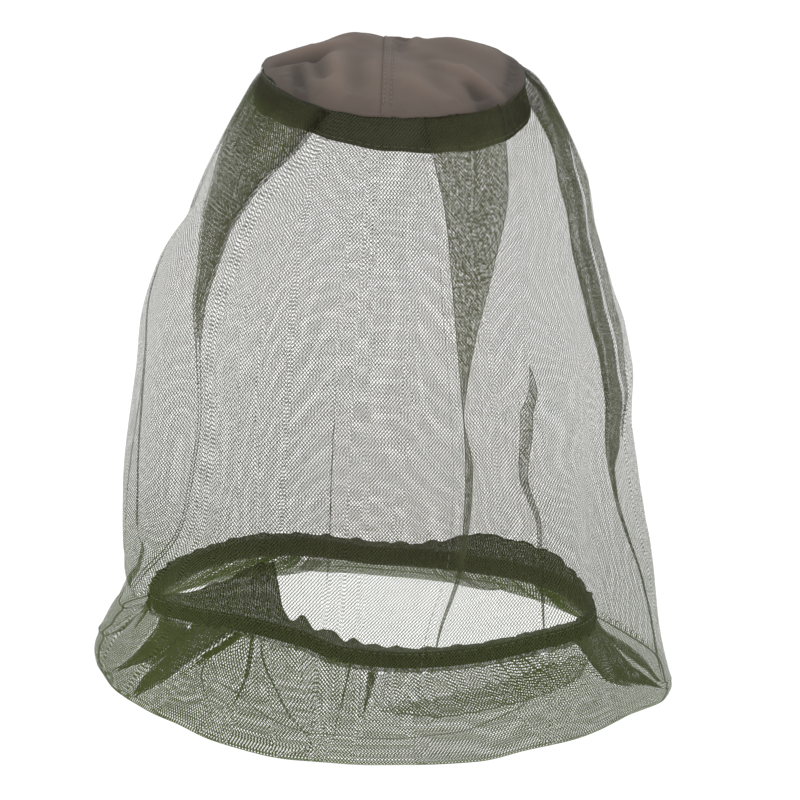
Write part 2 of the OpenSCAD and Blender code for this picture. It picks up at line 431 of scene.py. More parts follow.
def fold_depth(d, angle):
    """Ripples that grow as the net hangs, and die where it turns under."""
    grow = smooth(d / 200) * (1 - 0.55 * smooth((d - 250) / (DROP - 250)))
    out = np.zeros_like(angle)
    for top, foot, width, depth in SOFT_FOLDS:
        centre = top + (foot - top) * min(1, d / DROP)
        out = out + depth * bell_curve(signed(angle - centre), 0, width)
    wander = np.radians(angle)
    out = out + 1.3 * np.sin(7 * wander + 0.011 * d) + 0.9 * np.sin(13 * wander - 0.017 * d + 1.1)
    out = out + 0.5 * np.sin(23 * wander + 0.023 * d + 2.0)
    level = 0.8 * np.sin(0.045 * d + 2 * wander) * smooth(d / 60)
    return (grow * out + level * (1 - smooth((d - 270) / 30))) * MM


# The band's top edge dips at the back and a little at the front: (angle, mm).
top_dip = by_angle(
    (-180, -4.5), (-150, -4.8), (-125, -4.6), (-98, -1.0), (-65, 1.2), (0, -1.2), (60, -1.0), (90, 0),
    (122, -0.5), (150, -3.2), (180, -4.5),
)
# How far the lowest fold lies above the CAD's lowest point: (angle, mm).
rim_hang = by_angle(
    (-180, 3), (-120, 6), (-90, 7.5), (-75, 5.6), (-60, 3.4), (-44, 4.2), (-33, 2.6), (-16, 0.4),
    (-4, 1.2), (23, 1.4), (34, 4.0), (50, 5.6), (60, 5.6), (70, 3.2), (82, -1.5), (92, -3.3), (110, -1),
    (150, 2), (180, 3),
)


def rim_height(angle):
    return RIM_Z + rim_hang(angle)


def hem_reach(angle):
    """Distance from the axis to the hem's outside: an oval of two end arcs and two side arcs."""
    turn = np.radians(angle)
    x, y = np.abs(np.sin(turn)), np.abs(np.cos(turn))
    end_x = HEM_A - HEM_END_R
    side_r = (end_x**2 + HEM_B**2 - HEM_END_R**2) / (2 * (HEM_B - HEM_END_R))
    side_y = side_r - HEM_B
    on_end = end_x * x + np.sqrt(np.maximum(HEM_END_R**2 - (end_x * y) ** 2, 0))
    on_side = -side_y * y + np.sqrt(side_r**2 - (side_y * x) ** 2)
    join = HEM_END_R * side_y / (side_r - HEM_END_R) / (end_x + HEM_END_R * end_x / (side_r - HEM_END_R))
    return np.where(y < join * x, on_end, on_side)


# The hem rides up on the right of the face, and a little at the back: (angle, mm).
hem_lift = by_angle(
    (-180, 1), (-135, 7), (-110, 3), (-90, 1.5), (-65, 8), (-45, 10.5), (-26, 8), (-11, 2), (15, 0),
    (40, 1), (62, 3), (90, 0), (120, 3), (150, 1.5), (180, 1),
)


def gathers(path):
    """Fine gathers of the net at the hem, by the cloth's own length from the seam, in metres."""
    return (
        np.sin(path * ROUND / (12.5 * MM))
        + 0.5 * np.sin(path * ROUND / (8.3 * MM) + 1.3)
        + 0.6 * np.sin(path * ROUND / (29 * MM) + 0.4)
    ) / 1.6


def turn_under(radius, height, degrees):
    """A point this far round the lowest fold from the wall's foot."""
    bend = radians(degrees)
    return radius - TURN_R + TURN_R * cos(bend), height - TURN_R * sin(bend)


def wall_point(d, angle):
    """Radius and height of the bell at a drop and the angles."""
    radius = bell_radius(np.full_like(angle, d)) + lean(d, angle) + fold_depth(d, angle)
    top = BAND_TOP + top_dip(angle) * (1 - smooth(d / 60))
    height = top - d * (BAND_TOP - (rim_height(angle) + TURN_R)) / DROP
    return radius, height


# Creases along the underfold: (angle, share of the way from the lowest fold to the hem). The first two are
# the edges of a crescent where the net lies closer and stands up a little.
CRESCENT_TOP = [(2, 0.66), (17, 0.74), (36, 0.80), (50, 0.83), (62, 0.86), (74, 0.85)]
CRESCENT_FOOT = [(2, 0.66), (12, 0.61), (22, 0.58), (32, 0.58), (45, 0.60), (59, 0.63), (74, 0.82)]
LONG_ARC = [
    (-48, 0.60), (-36, 0.54), (-25, 0.42), (-17, 0.37), (-6, 0.36), (6, 0.35), (16, 0.38), (27, 0.42),
    (39, 0.51), (48, 0.62),
]


def crescent(f, angle):
    """1 inside the crescent, 0 outside it."""
    at = signed(angle)
    over = smooth((f - curve(CRESCENT_FOOT, at)) / 0.015) * smooth((curve(CRESCENT_TOP, at) - f) / 0.015)
    return over * (at > 2) * (at < 74)


def underfold_point(f, angle, path):
    """Radius and height between the lowest fold, f = 0, and the hem, f = 1."""
    start_r, start_z = turn_under(*wall_point(DROP, angle), 115)
    end_r = hem_reach(angle) + 0.5 * MM
    end_z = HEM_FOOT + hem_lift(angle) + 1.0 * MM
    radius = start_r + (end_r - start_r) * f
    height = start_z + (end_z - start_z) * (0.35 * f + 0.65 * np.abs(f) ** 2.2)
    height = height + 2.2 * MM * gathers(path) * smooth((f - 0.2) / 0.8) ** 2
    return radius, height + 0.9 * MM * crescent(f, angle)


# Pressed and hanging folds, in order round the net. Each has where it starts (drop, angle), how wide its
# layers are (drop, mm), how much cloth it takes where it lies open, in mm, and its number of layers.
RIM, HEM = DROP, DROP + TURN_IN
PLEATS = {
    "left": ([(0, -92), (34, -90), (46, -82), (55, -77), (66, -73.5), (81, -67), (96, -61), (127, -52.5),
         (167, -47.5), (199, -48.5), (249, -65), (280, -79), (RIM, -80), (HEM, -86)],
        [(0, 67), (6, 67.5), (16, 69), (34, 63.5), (46, 49), (55, 40), (73, 27), (92, 14), (108, 7.5),
        (127, 2), (145, 2), (255, 2), (280, 1), (300, 0)], 5, 5),
    "hem_left_upper": ([(0, -22.5), (12, -27), (34, -38.5), (54, -46.5), (92, -49.5), (127, -47.5),
         (167, -43), (199, -43.5), (249, -60), (280, -74), (RIM, -75.5), (HEM - 4, -76), (HEM, -77)],
        [(RIM - 6, 0), (RIM, 1), (RIM + 14, 6), (RIM + 24, 15), (HEM, 24)], 3, 5),
    "hem_left_lower": ([(0, -19.3), (12, -24.5), (34, -36), (54, -43.5), (92, -47), (127, -45.5),
         (167, -40.5), (199, -40.5), (249, -52), (RIM, -62), (RIM + 16, -66), (RIM + 24, -66), (HEM, -60)],
        [(RIM - 6, 0), (RIM, 1), (RIM + 16, 12), (RIM + 24, 15), (HEM, 18)], 3, 5),
    "hem_crease_left": ([(0, -16.2), (12, -21.5), (34, -33), (54, -40.5), (92, -43), (199, -37),
         (RIM, -37), (RIM + 8, -38.5), (RIM + 29, -52.5), (HEM, -46)],
        [(RIM + 4, 0), (RIM + 9, 1.3), (RIM + 30, 1.5), (RIM + 35, 0)], 2, 3),
    "hem_bend_left": ([(0, -14), (34, -29), (54, -36), (92, -38), (199, -32), (RIM, -31), (RIM + 8, -32),
         (RIM + 20, -37), (RIM + 26, -38), (HEM, -43.5)],
        [(RIM + 14, 0), (RIM + 20, 1.5), (RIM + 34, 3), (HEM, 2)], 2, 3),
    "hem_line_left": ([(0, -12), (34, -25), (54, -31), (92, -32), (199, -26), (RIM, -19), (RIM + 8, -13.5),
         (RIM + 25, -26.5), (RIM + 37, -38.5), (HEM, -40)],
        [(RIM + 4, 0), (RIM + 8, 1.2), (RIM + 37, 1.6), (HEM, 0)], 2, 3),
    "crease": ([(0, -10), (60, -12), (163, -11), (201, -10.5), (RIM, -12), (RIM + 8, -11.3), (HEM, -20)],
        [(100, 0), (163, 1.4), (201, 1.4), (245, 0)], 2, 3),
    "hem_line_front": ([(0, -8), (150, -7), (220, -7), (RIM, -9), (RIM + 20, -9), (HEM, -8.5)],
        [(RIM + 15, 0), (RIM + 20, 1.2), (HEM, 1.8)], 2, 3),
    "hem_front": ([(0, -5), (200, -3), (RIM, -3), (HEM, -2)], [(RIM + 20, 0), (HEM, 6)], 3, 3),
    "front": ([(0, 11), (17, 13), (44, 15.8), (98, 17.4), (167, 18.8), (207, 18), (250, 13), (RIM, 10.5),
         (HEM, 9)],
        [(0, 44), (20, 41), (43, 35), (60, 28.5), (83, 20), (106, 11), (129, 4), (139, 2), (166, 6),
        (205, 4.5), (248, 2.5), (290, 0)], 5, 3),
    "side_crease": ([(0, 58), (20, 50), (54, 43), (82, 39), (130, 36.5), (143, 33.7), (170, 33.2),
         (201, 37.5), (RIM, 39), (HEM, 40)],
        [(115, 0), (143, 7), (170, 5), (200, 3), (240, 2), (280, 0)], 3, 3),
    "right": ([(0, 66), (25, 67.5), (44, 63.2), (104, 63.9), (161, 65.4), (187, 68.3), (240, 76),
         (290, 79), (RIM, 79), (RIM + 12, 71), (RIM + 23, 64), (HEM, 57)],
        [(0, 30), (28, 28), (46, 24), (54, 24), (77, 26), (101, 29), (143, 28), (165, 36), (180, 31),
        (190, 11), (215, 4), (290, 2), (RIM, 0)], 5, 5),
    "right_side": ([(0, 99), (28, 91), (46, 82), (77, 82), (101, 82.8), (143, 82), (165, 87.3), (183, 87),
         (196, 83.5), (RIM, 82.5), (RIM + 12, 77), (RIM + 17, 73.3), (RIM + 23, 69.7), (HEM, 62.5)],
        [(0, 8), (28, 12), (46, 20), (70, 20), (101, 16), (143, 10), (165, 5), (185, 0)], 3, 3),
    "hem_right_front": ([(0, 110), (28, 103), (46, 99), (100, 97.5), (143, 94.5), (190, 89), (RIM, 88.5),
         (RIM + 3, 88.3), (RIM + 12, 83.5), (RIM + 17, 76), (RIM + 23, 71.5), (HEM, 71)],
        [(0, 19), (28, 15), (46, 8), (66, 0), (RIM - 6, 0), (RIM, 1), (RIM + 12, 20), (RIM + 17, 36),
        (RIM + 23, 46), (HEM, 46)], 3, 5),
    "hem_right_back": ([(0, 136), (28, 126), (100, 112), (200, 98), (RIM, 92), (RIM + 9, 97),
         (RIM + 18, 98), (HEM, 101)],
        [(RIM - 6, 0), (RIM, 1), (RIM + 9, 15), (RIM + 18, 28), (HEM, 28)], 3, 5),
    "back_left": ([(0, 140), (60, 133), (170, 124), (RIM, 122), (HEM, 124)],
        [(0, 16), (30, 12), (52, 0)], 5, 3),
    "hem_back_left": ([(0, 160), (RIM, 150), (HEM, 147)], [(RIM, 0), (HEM, 10)], 3, 3),
    "back": ([(0, 165), (60, 168), (170, 172), (RIM, 174), (HEM, 172)], [(0, 30), (30, 18), (56, 0)], 5, 3),
    "hem_back": ([(0, 200), (RIM, 200), (HEM, 196)], [(RIM, 0), (HEM, 10)], 3, 3),
    "back_right": ([(0, 205), (60, 212), (170, 220), (RIM, 224), (HEM, 209)],
        [(0, 16), (30, 12), (52, 0)], 5, 3),
    "hem_left_back": ([(0, 228), (RIM, 244), (HEM, 214)], [(RIM - 20, 0), (RIM, 2), (HEM, 7)], 3, 3),
    "left_crease": ([(0, 232), (24, 235), (50, 246), (150, 256), (RIM, 257), (RIM + 8, 252),
         (RIM + 20, 243), (HEM, 229)],
        [(80, 0), (150, 2), (230, 2), (280, 0)], 2, 3),
    "hem_left": ([(0, 236), (24, 240), (50, 254), (75, 262), (100, 265), (RIM, 263), (RIM + 8, 258),
         (RIM + 20, 250), (HEM, 241)],
        [(0, 26), (24, 25), (50, 14), (75, 3), (90, 0), (RIM - 6, 0), (RIM, 2), (RIM + 8, 15),
        (RIM + 20, 32), (HEM, 34)], 3, 3),
}
LAYER = 0.9 * MM  # distance between a pleat's layers
GAP_STEP = 2.3 * MM  # width of a mesh column between pleats, at the foot
EASE = 14 * MM  # how far from a pleat its stand-off fades
FAR = 0.1  # a distance that counts as away from any fold


def pleat_width(name, d):
    return float(curve(PLEATS[name][1], d))


def layer_columns(name):
    """Mesh columns across each layer of a pleat: fewer in a thin crease."""
    widest = max(width for place, width in PLEATS[name][1])
    return 5 if widest > 8 else 2


def pleat_path(share, width, slack, layers, radius):
    """Angles and stand-off across a pleat. share runs from 0 to layers."""
    within = share % 2
    back_and_forth = np.where(within <= 1, within, 2 - within)
    rounded = 0.5 - 0.5 * np.cos(np.pi * back_and_forth)
    place = width * (0.75 * rounded + 0.25 * back_and_forth) + slack * share / layers
    stand = LAYER * (1 - 2 * share / layers) * min(1, width / 2.5)
    return np.degrees(place * MM / radius), stand


def layout():
    """The columns round the net: a list of (pleat, columns in a layer, layers, columns to the next pleat,
    first column)."""
    names = list(PLEATS)
    parts, first = [], 0
    for name, following in zip(names, names[1:] + names[:1]):
        starts, widths, slack, layers = PLEATS[name]
        turn = float(curve(PLEATS[following][0], RIM) - curve(starts, RIM)) % 360
        gap = max(3, round((radians(turn) * RIM_R - slack * MM) / GAP_STEP))
        parts.append((name, layer_columns(name), layers, gap, first))
        first += layer_columns(name) * layers + gap
    return parts


def row_angles(d, parts):
    """The angle and stand-off of each column at a drop."""
    spans = []
    for name, columns, layers, gap, first in parts:
        starts, widths, slack, layers = PLEATS[name]
        start = np.array([float(curve(starts, d))])
        if d <= DROP:
            radius = wall_point(d, start)[0]
        else:
            radius = underfold_point((d - DROP) / TURN_IN, start, np.zeros(1))[0]
        share = np.arange(columns * layers + 1) / columns
        offset, stand = pleat_path(share, pleat_width(name, d), slack, layers, radius)
        spans.append((start + offset, stand))
    angles, stands = [], []
    for part, (angle, stand), (next_angle, next_stand) in zip(parts, spans, spans[1:] + spans[:1]):
        room = (next_angle[0] - angle[-1]) % 360
        share = np.arange(1, part[3]) / part[3]
        near = max(EASE / (radians(room) * 0.1 + 1e-9), 0.05)
        ease_in, ease_out = smooth(1 - share / near), smooth(1 - (1 - share) / near)
        angles += [angle, angle[-1] + room * share]
        stands += [stand, stand[-1] * ease_in + next_stand[0] * ease_out]
    return np.concatenate(angles), np.concatenate(stands)


def net_rows():
    """Every row of the net, from the band's top edge down, round the lowest fold and in to the hem."""
    wall = [0, 1.5, 3.5, 6, 9, 12] + list(np.arange(15, DROP - 3, 2.7)) + [DROP]
    turn = [("turn", degrees) for degrees in (20, 45, 70, 95)]
    fold = [("fold", f) for f in np.linspace(0, 1, 66)]
    return [("wall", d) for d in wall] + turn + fold


def row_drop(kind, value):
    """A row's place down the net, in mm."""
    return value if kind == "wall" else DROP if kind == "turn" else DROP + TURN_IN * value


def crowding(kind, value, angle):
    """How much the net's yarns crowd together: at its foot, under it, and at the band's two ends."""
    at = signed(angle)
    near_left, near_right, corner = bell_curve(at, -62, 38), bell_curve(at, 68, 34), bell_curve(at, -100, 26)
    sides = 0.45 * near_left + 0.25 * near_right
    if kind == "wall":
        foot = smooth((value - 150) / 140) * (0.34 + sides) + 0.4 * smooth((value - 235) / 40) * corner
        ends = 0.85 * bell_curve(at, -88, 34) + 0.5 * bell_curve(at, 88, 32)
        return foot + ends * smooth((value - 8) / 8) * smooth((38 - value) / 26)
    under = 1.08 + sides + 0.3 * corner
    return under + (1.1 * crescent(value, angle) if kind == "fold" else 0)


def line_marks(kind, value, angle):
    """Signed distance to the nearest crease along the underfold, in metres, and how dark it is there."""
    if kind != "fold":
        return np.ones_like(angle), np.zeros_like(angle)
    at = signed(angle)
    span = RIM_R - TURN_R - hem_reach(angle)
    side, nearest, dark = 1, np.full_like(angle, 1.0), np.zeros_like(angle)
    for points, strength in ((CRESCENT_TOP, 0.75), (CRESCENT_FOOT, 0.8), (LONG_ARC, 0.75)):
        gap = (value - curve(points, at)) * span
        ends = smooth((at - points[0][0]) / 6) * smooth((points[-1][0] - at) / 6)
        dark = np.where(np.abs(gap) < nearest, strength * ends, dark)
        nearest = np.minimum(nearest, np.abs(gap))
        side = side * np.where(gap < 0, -1, 1)
    return side * nearest, dark


def fold_distances(parts, rows, run):
    """For each row and face across it, the distance of its two sides from a pressed fold, in metres, and
    how much the net is pleated there: on the wall, and under the rim."""
    away = np.full((len(rows), run.shape[1] - 1, 2), FAR)
    pleated = np.zeros((*away.shape, 2))
    for r, (kind, value) in enumerate(rows):
        d = row_drop(kind, value)
        for name, columns, layers, gap, first in parts:
            width = pleat_width(name, d)
            wide, open_by = smooth(width / 9), FAR * (1 - smooth(width / 1.5))
            across = range(first, first + columns * layers)
            pleated[r, across, :, 0] = wide * smooth((d - 9) / 12) * smooth((250 - d) / 60)
            pleated[r, across, :, 1] = wide * smooth((d - DROP + 5) / 10)
            for c in across:
                layer = (c - first) // columns
                folds = [first + columns * k for k in (layer, layer + 1) if 0 < k < layers]
                for side in (0, 1):
                    away[r, c, side] = min(abs(run[r, c + side] - run[r, fold]) for fold in folds) + open_by
        if kind == "turn":
            away[r] = np.minimum(away[r], abs(value - 70) / 25 * MM)
    return away, pleated


def closed(columns):
    """The columns round the net, with the first once more at the end."""
    return np.concatenate([columns, columns[:, :1]], 1)


def build_net():
    parts = layout()
    rows = net_rows()
    places, angles, path = [], [], None
    for kind, value in rows:
        d = row_drop(kind, value)
        angle, stand = row_angles(d, parts)
        angles.append(angle)
        if kind == "fold":
            path = np.radians(np.unwrap(angle, period=360)) * RIM_R if path is None else path
            radius, height = underfold_point(value, angle, path)
        else:
            radius, height = wall_point(d, angle)
        if kind == "turn":
            radius, height = turn_under(radius, height, value)
        if kind == "wall":
            radius = radius + stand * max(smooth(d / 8), 0.35)
        else:
            radius = radius + stand * (1 - smooth(value if kind == "fold" else 0))
            height = height + stand
        turn = np.radians(angle)
        places.append(np.stack([radius * np.sin(turn), -radius * np.cos(turn), height], 1))
    places = np.array(places)
    n_rows, n_cols = places.shape[:2]

    # Each layer, and each stretch between pleats, is laid flat from its own middle.
    bounds = {first + columns * k for name, columns, layers, gap, first in parts for k in range(layers + 1)}
    ends = np.array(sorted(bounds | {0, n_cols}))
    part_of = np.searchsorted(ends, np.arange(n_cols), side="right") - 1
    along = np.linalg.norm(np.diff(closed(places), axis=1), axis=2)
    run = np.concatenate([np.zeros((n_rows, 1)), np.cumsum(along, 1)], 1)
    down = np.linalg.norm(np.diff(places, axis=0), axis=2).mean(1)
    depth = np.concatenate([[0], np.cumsum(down)])
    shift = (ends[:-1] + ends[1:]) / 2 * GAP_STEP - (run[:, ends[:-1]] + run[:, ends[1:]]) / 2

    crowd = closed(np.array([crowding(*row, angle) for row, angle in zip(rows, angles)]))
    marks = np.array([line_marks(*row, angle) for row, angle in zip(rows, angles)])
    marks = closed(marks.transpose(0, 2, 1))
    away, pleated = fold_distances(parts, rows, run)
    faces, maps = [], {"Cloth": [], "Crowd": [], "Pleat": [], "Line": []}
    for r in range(n_rows - 1):
        for c in range(n_cols):
            corners = ((r, 0), (r, 1), (r + 1, 1), (r + 1, 0))
            faces.append([row * n_cols + (c + side) % n_cols for row, side in corners])
            for row, side in corners:
                maps["Cloth"].append((run[row, c + side] + shift[row, part_of[c]], -depth[row]))
                maps["Crowd"].append((crowd[row, c + side], away[row, c, side]))
                maps["Pleat"].append(pleated[row, c, side])
                maps["Line"].append(marks[row, c + side])
    return mesh_object("net", places.reshape(-1, 3), faces, NET, **maps), places, parts, rows


net, net_places, net_parts, net_row_list = build_net()
seam_col = next(part[-1] for part in net_parts if part[0] == "front")

# ---------------------------------------------------------------- crown
CROWN_R = BAND_R - 0.4 * MM
CROWN_RISE = 9 * MM
LAP = 5 * MM
# Creases pressed into the slack crown: from (x, y) to (x, y) in mm, width, depth.
CROWN_CREASES = [
    (-55, -8, -34, -1, 3.6, -2.8), (-46, -14, -43, -50, 3.4, -3.4), (-37, -6, -33, -30, 4.2, -3.4),
    (-30, -10, -24, -50, 6.5, 2.6), (-56, 2, -24, 10, 4.5, 1.8), (33, -17, 50, -33, 3.4, 3.0),
    (20, -12, 34, -17, 4.0, 1.6), (50, -33, 57, -34, 3.0, 1.6), (38, -30, 47, -52, 4.6, -4.2),
    (60, 14, 58, -30, 4.4, -4.2), (5, 36, 14, 47, 2.6, -4.2), (3, 4, 4, 36, 3.2, -1.8),
    (9, 10, 11, 38, 3.2, 1.4), (-56, 22, -34, 36, 7.0, -2.0), (-20, 20, -48, 8, 9.0, 1.8),
    (22, 24, 46, 14, 8.0, 1.8), (-22, -14, 20, -30, 14.0, 1.2), (-10, -20, -6, -58, 5.0, 1.2),
    (8, -34, 28, -52, 6.0, 1.6), (16, -8, 24, -44, 6.0, -1.2), (-16, -4, -20, -46, 6.0, -1.4),
]
# Broad swellings of the slack crown: x, y, width, height, all in mm, and how soon each fades at the edge.
CROWN_SWELLS = [(-20, 27, 20, 4.2, 4), (33, 24, 22, 2.6, 4), (6, 50, 12, -2.6, 8)]
# How far the slack cloth hangs over the band's top edge: (angle, mm).
OVERHANG = [
    (-180, 0.6), (-90, 0.5), (-66, 0.6), (-48, 2.2), (-28, 2.6), (0, 2.2), (28, 1.8), (56, 3.8), (74, 1.8),
    (90, 0.6), (180, 0.6),
]
SKIRT = 3  # mesh rows in the cloth that hangs over


def crown_relief(x, y):
    """How far the creases raise the cloth at a place, all in mm."""
    relief = 0 * x * y
    for x0, y0, x1, y1, width, depth in CROWN_CREASES:
        dx, dy = x1 - x0, y1 - y0
        t = np.clip(((x - x0) * dx + (y - y0) * dy) / (dx * dx + dy * dy), 0, 1)
        gap = np.hypot(x - x0 - t * dx, y - y0 - t * dy)
        fade = 0.5 + 0.5 * np.sin(np.pi * (0.15 + 0.7 * t))
        relief = relief + depth * bell_curve(gap, 0, width) * fade
    return relief


def crown_height(x, y):
    """Height of the crown cloth over the band's top edge, from plan coordinates in metres."""
    r = np.sqrt(x * x + y * y) / CROWN_R
    inside = np.clip(1 - r**2, 0, 1)
    dip = top_dip(np.degrees(np.arctan2(x, -y))) / MM * smooth(r)
    x, y = x / MM, y / MM
    z = CROWN_RISE / MM * inside**0.85 + dip
    hold = smooth(inside * 4)
    z = z - 1.8 * bell_curve(x, 1, 8) * hold * smooth((y + 40) / 60)
    for x0, y0, width, rise, fade in CROWN_SWELLS:
        z = z + rise * bell_curve(np.hypot(x - x0, y - y0), 0, width) * smooth(inside * fade)
    z = z + crown_relief(x, y) * hold
    pucker = np.arctan2(y, x)
    edge = bell_curve(r, 0.95, 0.07)
    z = z + edge * (0.35 * np.sin(41 * pucker) + 0.25 * np.sin(67 * pucker + 1)) * hold
    wave = 0.5 * np.sin(0.21 * x + 0.10 * y + 1) * np.sin(0.17 * y - 0.05 * x) * hold
    return (z + wave) * MM


def crown_painted_shading(x, y):
    """Painted light and shade from the creases: above 0 a painted highlight on their ridges, below 0 painted
    shade in their valleys and at the slack edge beside the face's right."""
    relief = crown_relief(x / MM, y / MM)
    ends = 0.5 * bell_curve(x / MM, 60, 18) + 0.3 * bell_curve(x / MM, -50, 16)
    # painted shade along the crown's slack edge, strongest beside the face's right
    painted_edge_shade = bell_curve(np.hypot(x, y) / CROWN_R, 1.0, 0.14) * (0.16 + ends)
    return np.clip(np.where(relief > 0, 0.17 * relief, 0.24 * relief) - painted_edge_shade, -0.75, 0.5)


def overhang(x, y, z, step):
    """A point of the cloth past the crown's edge, step 1 to SKIRT, from the edge point above it."""
    angle = float(np.degrees(atan2(x, -y)))
    drop = max(0.4, float(curve(OVERHANG, angle))) + 0.25 * sin(radians(angle) * 23)
    out, down = ((1.0, 0.15), (1.7, 0.55), (1.6, 1.0))[step - 1]
    size = hypot(x, y)
    reach = size + out * min(1, drop / 1.5) * MM
    return x / size * reach, y / size * reach, z - down * drop * MM


def crown_panel(name, side, lap, raise_by):
    """Half the crown, with its edge hanging over the band. side is -1 or 1, and lap is how far the panel
    reaches over the middle."""
    rows, cols = 110, 64
    tilt = np.linspace(-1, 1, rows) * radians(88.5)
    grid, cloth = {}, {}
    for r, t in enumerate(tilt):
        y = CROWN_R * sin(t)
        reach = sqrt(CROWN_R**2 - y * y)
        x = side * (-lap + (reach + lap) * np.linspace(0, 1, cols))
        z = BAND_TOP + 0.3 * MM + crown_height(x, np.full(cols, y))
        z = z + raise_by * (1 - smooth((np.abs(x + side * lap) - lap - 1.5 * MM) / (4 * MM)))
        for c in range(cols):
            grid[r, c], cloth[r, c] = (x[c], y, z[c]), (x[c], y)
        for step in range(1, SKIRT + 1):
            grid[r, cols - 1 + step] = overhang(x[-1], y, z[-1], step)
            cloth[r, cols - 1 + step] = (x[-1] + side * step * MM, y)
    for c in range(cols):
        for step in range(1, SKIRT + 1):
            for r, far, way in ((0, -step, -1), (rows - 1, rows - 1 + step, 1)):
                grid[far, c] = overhang(*grid[r, c], step)
                cloth[far, c] = (grid[r, c][0], grid[r, c][1] + way * step * MM)
    index = {place: i for i, place in enumerate(grid)}
    # the crown's painted highlight and shade, carried to the material in a UV map
    painted_shading = {place: (float(crown_painted_shading(x, y)), 0) for place, (x, y, z) in grid.items()}
    faces, uv, painted_shading_uv = [], [], []
    for r, c in grid:
        corners = [(r, c), (r, c + 1), (r + 1, c + 1), (r + 1, c)]
        if all(place in grid for place in corners):
            corners = corners if side > 0 else corners[::-1]
            faces.append(tuple(index[place] for place in corners))
            uv += [cloth[place] for place in corners]
            painted_shading_uv += [painted_shading[place] for place in corners]
    panel = mesh_object(name, list(grid.values()), faces, CROWN, Cloth=uv, Wear=painted_shading_uv)
    mesh = bmesh.new()
    mesh.from_mesh(panel.data)
    bmesh.ops.remove_doubles(mesh, verts=mesh.verts, dist=0.001 * MM)
    mesh.to_mesh(panel.data)
    mesh.free()
    shell = panel.modifiers.new("cloth thickness", "SOLIDIFY")
    shell.thickness, shell.offset = 0.5 * MM, -1
    return panel


crown_left = crown_panel("crown_left_cloth", -1, 0.0, 0.0)
crown_right = crown_panel("crown_right_cloth", 1, LAP, 0.65 * MM)

# ---------------------------------------------------------------- closed bands of cloth


def loop_band(name, outline, section, material, steps, length, closed=True):
    """A band round a loop: section(share) gives the (out, up) points of the cut across it. closed joins the
    cut's last point to its first. length is the cloth's own length round the loop, in metres."""
    cuts = [section(k / steps) for k in range(steps)]
    count = len(cuts[0])
    verts = []
    for k, cut in enumerate(cuts):
        x, y, z, nx, ny = outline(k / steps)
        verts += [(x + nx * out, y + ny * out, z + up) for out, up in cut]
    across = [0]
    for c in range(count):
        (a, b), (d, e) = cuts[0][c], cuts[0][(c + 1) % count]
        across.append(across[-1] + hypot(d - a, e - b))
    faces, uv = [], []
    for k in range(steps):
        n = (k + 1) % steps
        u0, u1 = length * k / steps, length * (k + 1) / steps
        for c in range(count if closed else count - 1):
            d = (c + 1) % count
            faces.append((k * count + c, n * count + c, n * count + d, k * count + d))
            uv += [(u0, across[c]), (u1, across[c]), (u1, across[c + 1]), (u0, across[c + 1])]
    return mesh_object(name, verts, faces, material, Cloth=uv)


def round_outline(radius):
    """A circle round the axis at height 0, as x, y, z and the outward direction for a share of the turn."""
    def at(share):
        x, y = sin(ROUND * share), -cos(ROUND * share)
        return radius * x, radius * y, 0, x, y
    return at


# How far the band's foot lies above its even place, and how far it stands out: (angle, mm).
foot_rise = by_angle(
    (-180, -1.5), (-90, -1), (-58, 1.0), (-38, 1.6), (-12, -1.2), (15, -3.0), (45, -4.6), (70, -3),
    (95, -1.5), (180, -1.5),
)
FOOT_FLARE = 4.5


def band_edges(angle):
    """The heights of the band's foot and top at an angle, in metres."""
    low = BAND_FOOT + float(foot_rise(angle)) + 0.3 * MM * sin(radians(17 * angle))
    return low, BAND_TOP + float(top_dip(angle))


def band_flare(share_up):
    """How far the band stands out at a share of its height: it is slack at its foot."""
    return FOOT_FLARE * MM * (1 - min(1, max(0, share_up))) ** 1.6


def band_section(share):
    """The headband folded over its elastic: soft at the edges, slightly gathered."""
    turn = ROUND * share
    ruche = 0.25 * sin(47 * turn) + 0.18 * sin(83 * turn) + 0.14 * sin(131 * turn + 1)
    low, top = band_edges(360 * share)
    thick = BAND_R - BAND_INNER_R
    cut = []
    for k in range(24):
        a = ROUND * k / 24
        out = 0.5 * thick * power(cos(a), 0.45)
        up = 0.5 + 0.5 * power(sin(a), 0.6)
        bulge = ruche * 0.6 * (1 if out > 0 else 0.4) * abs(cos(a)) * MM
        cut.append((out + bulge + band_flare(up), low + (top - low) * up))
    return cut


BAND_MIDDLE_R = (BAND_R + BAND_INNER_R) / 2
BAND_LENGTH = ROUND * BAND_R
BAND_ELASTIC_LENGTH = 0.41  # with its lap
BAND_STEPS, HEM_STEPS = 720, 1300
outline = round_outline(BAND_MIDDLE_R - 0.15 * MM)
band = loop_band("headband_sleeve", outline, band_section, BAND, BAND_STEPS, BAND_LENGTH)


def hem_outline(share):
    """A point on the hem's outside, its lift, and the outward direction, for a share of the turn."""
    angle = np.array([share * 360 - 0.25, share * 360, share * 360 + 0.25])
    reach, turn = hem_reach(angle), np.radians(angle)
    x, y = reach * np.sin(turn), -reach * np.cos(turn)
    tx, ty = x[2] - x[0], y[2] - y[0]
    size = hypot(tx, ty)
    z = float(hem_lift(angle[1:2])[0])
    return x[1], y[1], z, ty / size, -tx / size


